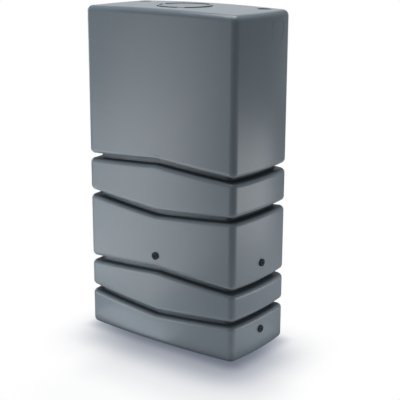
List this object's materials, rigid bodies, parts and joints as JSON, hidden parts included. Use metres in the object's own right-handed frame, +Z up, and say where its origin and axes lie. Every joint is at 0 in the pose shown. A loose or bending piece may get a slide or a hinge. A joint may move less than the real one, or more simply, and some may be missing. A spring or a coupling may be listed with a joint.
{
  "type": "rainwater tank",
  "caption": "Tall free-standing wall tank for rainwater: a one-piece hollow plastic shell with kinked grooves, a low screw lid and plugged threaded ports.",
  "frame": {"origin": "middle of the footprint on the ground", "axes": "+Z up, the bowed front faces -Y, the flat back faces +Y"},
  "size_m": [0.8064, 0.4064, 1.423],
  "materials": {
    "shell": "matte, fine moulded grain",
    "lid": "matte",
    "seal": "matte",
    "insert": "turned",
    "washer": "matte",
    "plug": "satin black"
  },
  "bodies": {
    "tank": {"tank_body": "shell", "front_insert": "insert", "side_upper_insert": "insert", "side_lower_insert": "insert"},
    "seal": {"lid_seal": "seal"},
    "screw_lid": {"lid": "lid"},
    "front_closure": {"front_plug": "plug", "front_plug_washer": "washer"},
    "side_upper_closure": {"side_upper_plug": "plug", "side_upper_plug_washer": "washer"},
    "side_lower_closure": {"side_lower_plug": "plug", "side_lower_plug_washer": "washer"}
  },
  "joints": [
    {"name": "lid_rise", "type": "slide", "parent": "tank", "child": "seal", "axis": [0, 0, 1], "range_m": [0, 0.015]},
    {"name": "lid_turn", "type": "hinge", "parent": "seal", "child": "screw_lid", "pos_m": [0, 0, 1.41], "axis": [0, 0, 1], "range_deg": [0, 450]},
    {"name": "front_plug_out", "type": "slide", "parent": "tank", "child": "front_closure", "axis": [0, -1, 0], "range_m": [0, 0.016]},
    {"name": "side_upper_plug_out", "type": "slide", "parent": "tank", "child": "side_upper_closure", "axis": [1, 0, 0], "range_m": [0, 0.016]},
    {"name": "side_lower_plug_out", "type": "slide", "parent": "tank", "child": "side_lower_closure", "axis": [1, 0, 0], "range_m": [0, 0.016]}
  ],
  "couplings": [
    {"joint": "lid_rise", "follows": "lid_turn", "m_per_rad": 0.0019}
  ]
}
